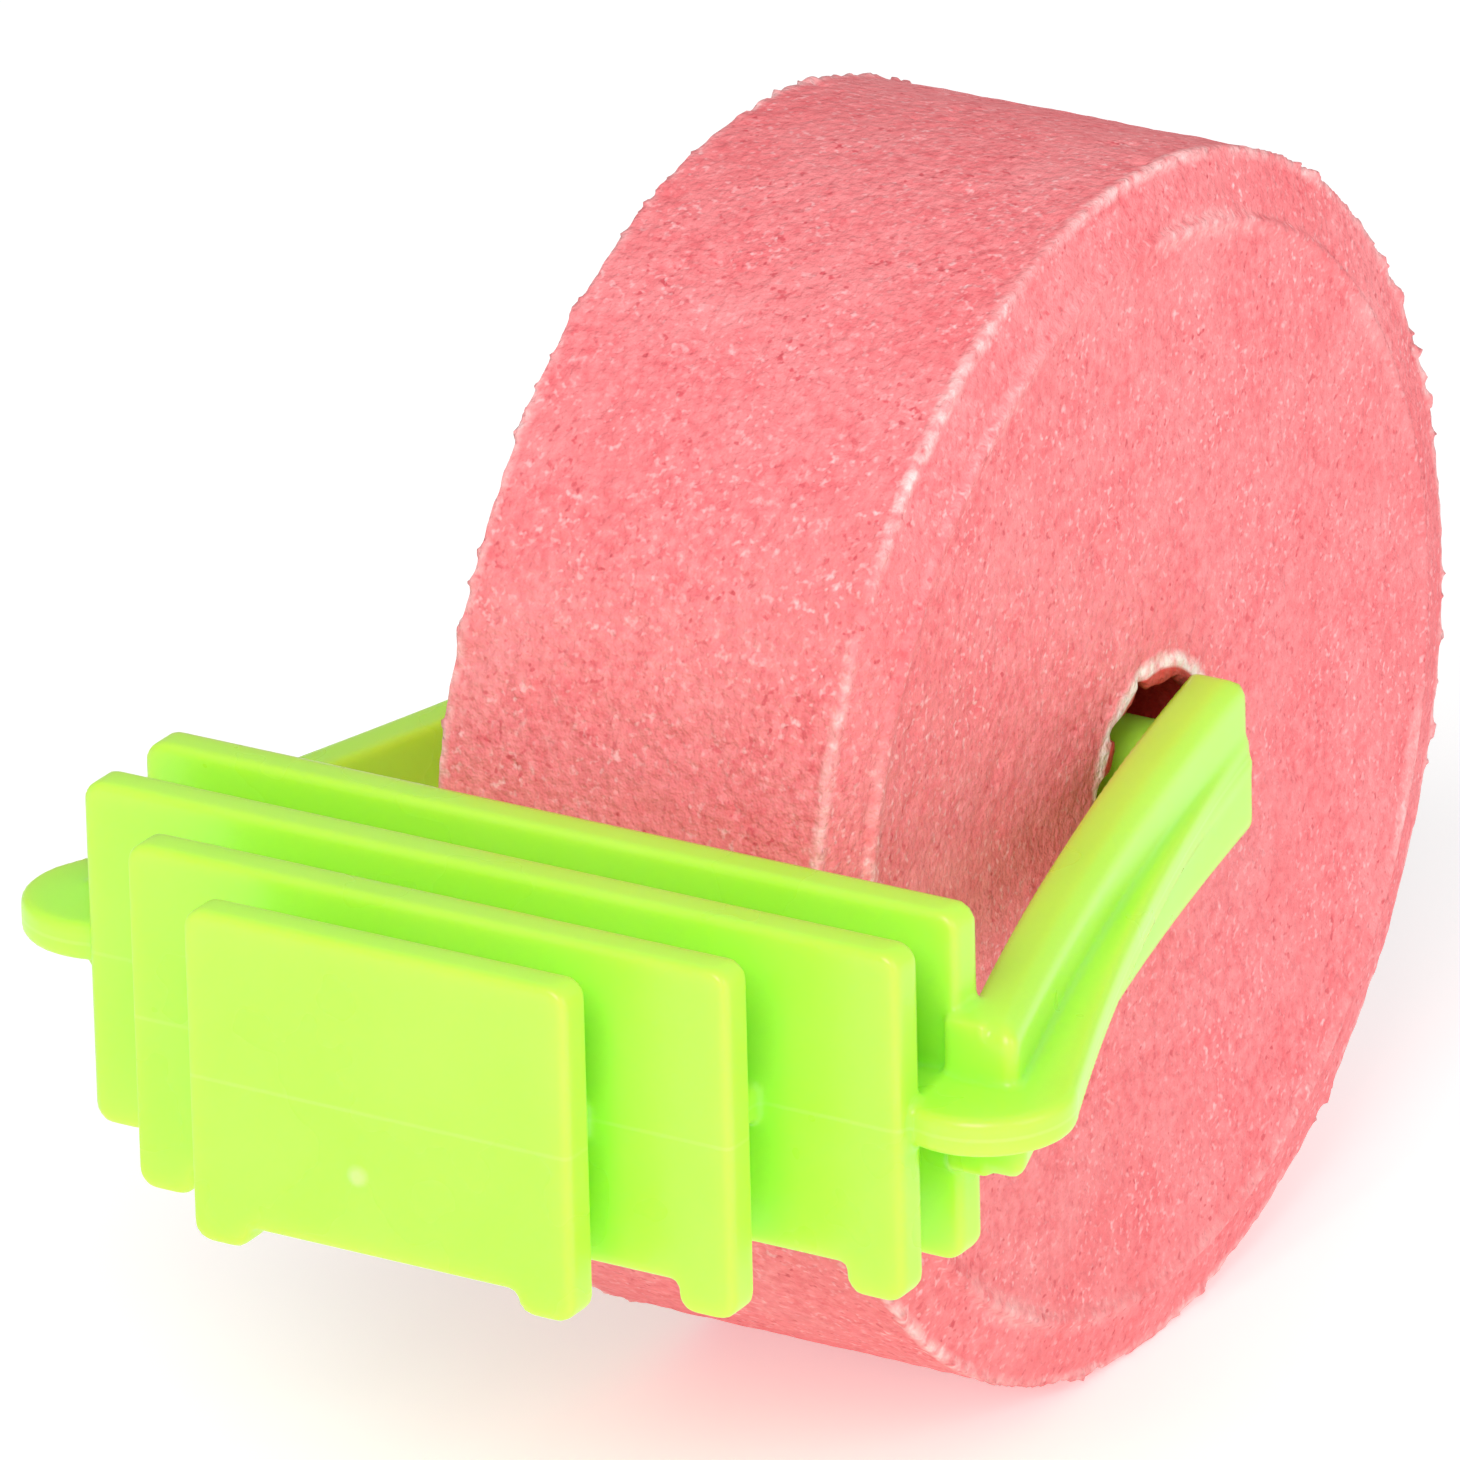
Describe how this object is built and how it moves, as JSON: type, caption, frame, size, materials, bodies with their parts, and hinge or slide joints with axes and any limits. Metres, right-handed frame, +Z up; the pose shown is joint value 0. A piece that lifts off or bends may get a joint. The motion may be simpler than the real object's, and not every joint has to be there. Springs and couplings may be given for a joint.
{
  "type": "mineral wheel in a cage clip",
  "caption": "Round pressed mineral lick wheel that turns on pegs between the spring arms of a slotted plastic cage clip.",
  "frame": {"origin": "centre of the wire slot between the third plate and the back plate, halfway up the web", "axes": "X across the clip and along the wheel's bore, +Y from the cage towards the wheel, +Z up"},
  "size_m": [0.0512, 0.0747, 0.055],
  "materials": {
    "green_plastic": "smooth moulded polypropylene, slightly translucent lime green",
    "pressed_mineral": "fine-grained pressed mineral salt, matt salmon pink"
  },
  "bodies": {
    "clip": {"front_plate": "green_plastic", "second_plate": "green_plastic", "third_plate": "green_plastic", "back_plate": "green_plastic", "centre_web": "green_plastic", "left_elbow": "green_plastic", "right_elbow": "green_plastic"},
    "left_arm": {"left_arm": "green_plastic"},
    "right_arm": {"right_arm": "green_plastic"},
    "wheel": {"mineral_wheel": "pressed_mineral"}
  },
  "joints": [
    {"name": "wheel_turn", "type": "hinge", "parent": "clip", "child": "wheel", "pos_m": [0, 0.035, 0], "axis": [1, 0, 0], "continuous": true},
    {"name": "left_arm_flex", "type": "hinge", "parent": "clip", "child": "left_arm", "pos_m": [-0.0217, 0.001, 0], "axis": [0, 0, 1], "range_deg": [0, 10], "stiffness_Nm_per_rad": 0.8},
    {"name": "right_arm_flex", "type": "hinge", "parent": "clip", "child": "right_arm", "pos_m": [0.0217, 0.001, 0], "axis": [0, 0, -1], "range_deg": [0, 10], "stiffness_Nm_per_rad": 0.8}
  ]
}
